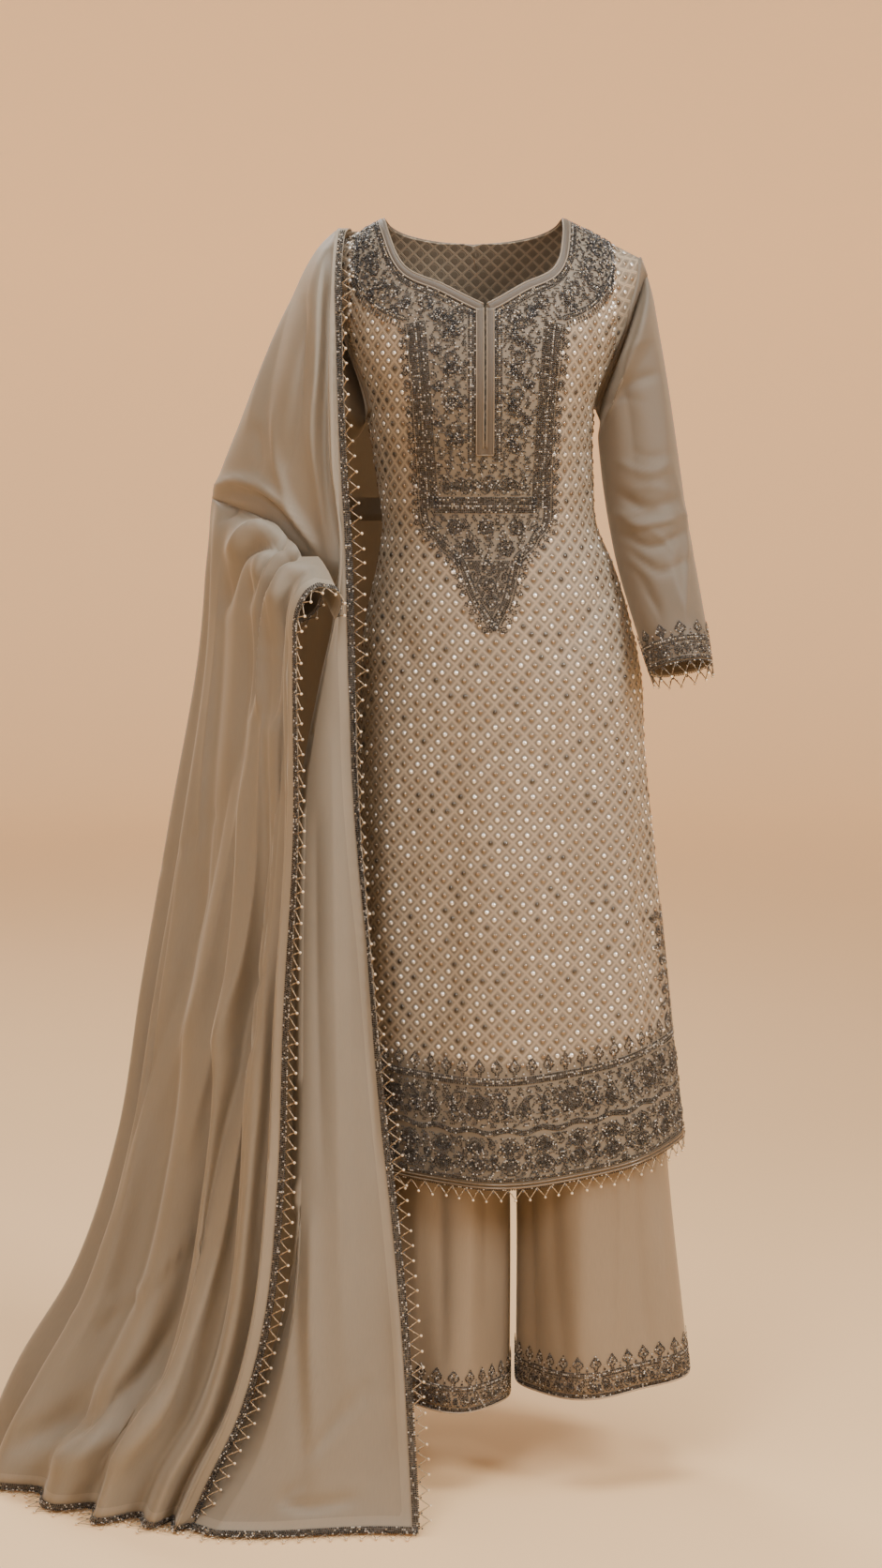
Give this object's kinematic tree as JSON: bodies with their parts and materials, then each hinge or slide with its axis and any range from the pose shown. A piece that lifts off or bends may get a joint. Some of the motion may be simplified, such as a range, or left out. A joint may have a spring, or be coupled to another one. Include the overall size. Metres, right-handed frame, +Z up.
{
  "type": "salwar kameez suit",
  "caption": "Straight kameez with a beaded yoke and mirrored cloth, wide palazzo trousers and a sheer dupatta over one shoulder and forearm, hollow and set in their worn shape.",
  "frame": {"origin": "between the wearer's shoulders, where they hold the suit up, 1.48 m above the floor that the dupatta's hem comes down to", "axes": "+Z up, +X to the wearer's left, -Y to the front"},
  "size_m": [0.8838, 0.5051, 1.5055],
  "materials": {
    "mirror_cloth": "taupe cloth with a diamond lattice of thread and small round mirrors",
    "plain_binding": "plain taupe cloth, softly matt",
    "beadwork": "dense dark beads with gold and silver ones among them",
    "bead_lace": "zigzag bead lace in antique gold with pearl tips",
    "sheer_cloth": "fine taupe cloth, slightly sheer",
    "satin_cloth": "plain taupe cloth with a low sheen",
    "dupatta_cloth": "sheer taupe organza"
  },
  "bodies": {
    "root": {"kameez_front": "mirror_cloth", "kameez_back": "mirror_cloth", "placket_band": "plain_binding", "neck_binding": "plain_binding", "yoke_embroidery": "beadwork", "hem_border_front": "beadwork", "hem_border_back": "beadwork", "hem_lace_front": "bead_lace", "hem_lace_back": "bead_lace", "sleeve_left": "sheer_cloth", "cuff_border_left": "beadwork", "cuff_lace_left": "bead_lace", "sleeve_right": "sheer_cloth", "cuff_border_right": "beadwork", "cuff_lace_right": "bead_lace", "trouser_leg_left": "satin_cloth", "trouser_leg_right": "satin_cloth", "trouser_waistband": "satin_cloth", "trouser_border_left": "beadwork", "trouser_border_right": "beadwork", "dupatta_front_fall": "dupatta_cloth", "dupatta_shoulder_wrap": "dupatta_cloth", "dupatta_side_fall": "dupatta_cloth", "dupatta_back_fall": "dupatta_cloth", "dupatta_lace_front": "bead_lace", "dupatta_lace_side": "bead_lace"}
  },
  "joints": []
}
